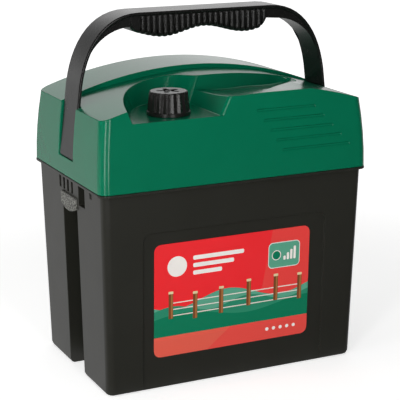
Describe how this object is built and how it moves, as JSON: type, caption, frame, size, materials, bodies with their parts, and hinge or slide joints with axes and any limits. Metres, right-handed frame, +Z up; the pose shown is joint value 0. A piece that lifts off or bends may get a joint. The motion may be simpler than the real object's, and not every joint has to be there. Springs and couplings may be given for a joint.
{
  "type": "fence energizer",
  "caption": "Battery fence energizer: a tapered battery box under a lift-off arched lid with a rotary switch and a bow handle",
  "frame": {"origin": "centre of the box's flat bottom, on the surface it stands on", "axes": "+Z up, -Y towards the labelled front, +X to the right seen from the front"},
  "size_m": [0.265, 0.1738, 0.332],
  "materials": {
    "black_plastic": "fine satin moulded polypropylene",
    "green_plastic": "semi-gloss moulded ABS",
    "label_film": "laminated printed film",
    "grey_rubber": "finely textured thumb pad",
    "black_nylon": "satin moulded nylon",
    "knob_plastic": "semi-gloss moulded",
    "dark_plastic": "plain moulded",
    "grey_plastic": "plain moulded",
    "battery_grey": "plain moulded",
    "cream_plastic": "smooth moulded",
    "blue_sleeve": "shrunk sleeve",
    "red_plastic": "smooth insulation",
    "board_green": "solder-resist coated laminate",
    "rubber": "soft moulded",
    "steel": "zinc plated",
    "brass": "turned",
    "copper": "enamelled winding wire",
    "iron": "varnished laminations",
    "aluminium": "extruded"
  },
  "bodies": {
    "case": {"battery_box": "black_plastic", "front_label": "label_film", "battery_case": "battery_grey", "battery_cover": "dark_plastic", "battery_terminal_positive": "brass", "battery_terminal_negative": "brass", "latch_spring_left": "steel", "latch_spring_right": "steel"},
    "latch_left": {"latch_button_left": "grey_rubber", "latch_clip_left": "steel"},
    "latch_right": {"latch_button_right": "grey_rubber", "latch_clip_right": "steel"},
    "knob": {"switch_knob": "knob_plastic", "switch_shaft": "brass", "switch_rotor": "dark_plastic"},
    "lid": {"battery_clip_red": "red_plastic", "battery_clip_black": "dark_plastic", "battery_lead_red": "red_plastic", "battery_lead_black": "dark_plastic", "lead_grommet": "rubber", "lid": "green_plastic", "lid_gasket": "rubber", "handle": "black_nylon", "switch_housing": "dark_plastic", "switch_base": "dark_plastic", "switch_nut": "steel", "shaft_seal": "rubber", "electronics_tray": "grey_plastic", "tray_screw_1": "steel", "tray_screw_2": "steel", "tray_screw_3": "steel", "tray_screw_4": "steel", "tray_screw_5": "steel", "tray_screw_6": "steel", "circuit_board": "board_green", "board_screw_1": "steel", "board_screw_2": "steel", "board_screw_3": "steel", "board_screw_4": "steel", "transformer_core": "iron", "transformer_bobbin": "dark_plastic", "transformer_winding": "copper", "storage_capacitor": "cream_plastic", "supply_capacitor": "blue_sleeve", "choke": "copper", "heat_sink": "aluminium", "thyristor": "dark_plastic", "control_chip": "dark_plastic", "fence_stud": "brass", "fence_nut": "brass", "earth_stud": "brass", "earth_nut": "brass"}
  },
  "joints": [
    {"name": "lid_lift", "type": "slide", "parent": "case", "child": "lid", "axis": [0, 0, 1], "range_m": [0, 0.12]},
    {"name": "knob_turn", "type": "hinge", "parent": "lid", "child": "knob", "pos_m": [-0.0544, -0.0543, 0.2465], "axis": [0, 0, 1], "range_deg": [0, 90]},
    {"name": "latch_left_press", "type": "slide", "parent": "case", "child": "latch_left", "axis": [1, 0, 0], "range_m": [0, 0.0025], "stiffness_N_per_m": 900, "springref_m": -0.0012, "deforming": ["latch_spring_left"]},
    {"name": "latch_right_press", "type": "slide", "parent": "case", "child": "latch_right", "axis": [-1, 0, 0], "range_m": [0, 0.0025], "stiffness_N_per_m": 900, "springref_m": -0.0012, "deforming": ["latch_spring_right"]}
  ]
}
